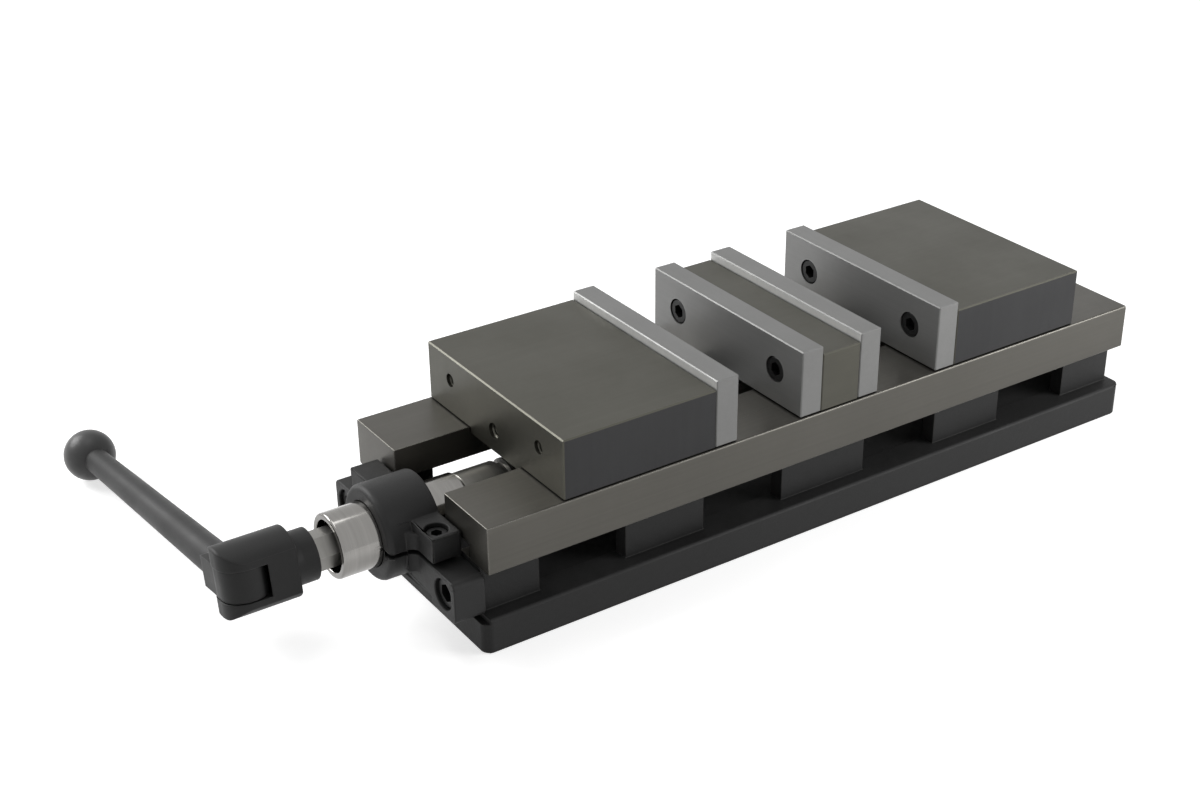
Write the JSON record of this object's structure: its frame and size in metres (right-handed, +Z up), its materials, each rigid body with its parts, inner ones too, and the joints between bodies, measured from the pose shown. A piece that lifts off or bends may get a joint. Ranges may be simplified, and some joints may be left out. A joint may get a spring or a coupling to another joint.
{
  "type": "double station vise",
  "caption": "Machine vise with a fixed centre jaw between two sliding jaws that one left and right hand screw closes together, turned by a folding crank handle.",
  "frame": {"origin": "centre of the bed's underside", "axes": "+X along the screw, away from the handle; +Y across the bed; +Z up"},
  "size_m": [0.627, 0.3319, 0.1245],
  "materials": {
    "bed_casting": "ground rails over a charcoal painted casting",
    "painted_casting": "satin charcoal paint over a slightly rough casting",
    "ground_iron": "ground ductile iron with fine grinding lines",
    "jaw_plates": "hardened steel, surface ground",
    "turned_steel": "turned and polished",
    "screw_steel": "turned steel, lightly oiled",
    "nut_iron": "machined ductile iron",
    "bronze": "machined bronze",
    "black_screws": "black oxide, oiled",
    "handle_black": "satin black over a forging"
  },
  "bodies": {
    "base": {"bed": "bed_casting", "screw_bracket": "painted_casting", "bracket_screws": "black_screws", "clamp_screw": "black_screws", "bearing_sleeve": "turned_steel", "fixed_thrust_washers": "turned_steel", "tail_bush": "bronze", "center_jaw": "ground_iron", "center_front_plate": "jaw_plates", "center_rear_plate": "jaw_plates", "center_front_plate_screws": "black_screws", "center_rear_plate_screws": "black_screws", "center_jaw_bolts": "black_screws"},
    "drive": {"lead_screw": "screw_steel", "turning_thrust_washers": "turned_steel", "lock_collar": "black_screws", "lock_collar_screw": "black_screws"},
    "cages": {"thrust_cages": "bronze", "thrust_rollers": "turned_steel"},
    "front_slider": {"front_jaw": "ground_iron", "front_jaw_plate": "jaw_plates", "front_plate_screws": "black_screws", "front_nut": "nut_iron", "front_segment": "turned_steel", "front_set_screw": "black_screws"},
    "rear_slider": {"rear_jaw": "ground_iron", "rear_jaw_plate": "jaw_plates", "rear_plate_screws": "black_screws", "rear_nut": "nut_iron", "rear_segment": "turned_steel", "rear_set_screw": "black_screws"},
    "hub": {"handle_hub": "handle_black", "hub_pin": "turned_steel"},
    "crank": {"handle_arm": "handle_black", "handle_ball": "handle_black"}
  },
  "joints": [
    {"name": "screw_turn", "type": "hinge", "parent": "base", "child": "drive", "pos_m": [-0.2465, 0, 0.052], "axis": [1, 0, 0], "range_deg": [-3456, 3376.8]},
    {"name": "front_jaw_slide", "type": "slide", "parent": "base", "child": "front_slider", "axis": [1, 0, 0], "range_m": [-0.04801, 0.04691]},
    {"name": "rear_jaw_slide", "type": "slide", "parent": "base", "child": "rear_slider", "axis": [-1, 0, 0], "range_m": [-0.04801, 0.04691]},
    {"name": "bearing_orbit", "type": "hinge", "parent": "base", "child": "cages", "pos_m": [-0.2465, 0, 0.052], "axis": [1, 0, 0], "range_deg": [-1728.01, 1688.41]},
    {"name": "handle_pull", "type": "slide", "parent": "drive", "child": "hub", "axis": [-1, 0, 0], "range_m": [0, 0.019]},
    {"name": "handle_fold", "type": "hinge", "parent": "hub", "child": "crank", "pos_m": [-0.36, 0, 0.052], "axis": [0, 0.1455, 0.9894], "range_deg": [0, 180]}
  ],
  "couplings": [
    {"joint": "front_jaw_slide", "follows": "screw_turn", "m_per_rad": 0.00079577},
    {"joint": "rear_jaw_slide", "follows": "screw_turn", "m_per_rad": 0.00079577},
    {"joint": "bearing_orbit", "follows": "screw_turn", "ratio": 0.5}
  ]
}
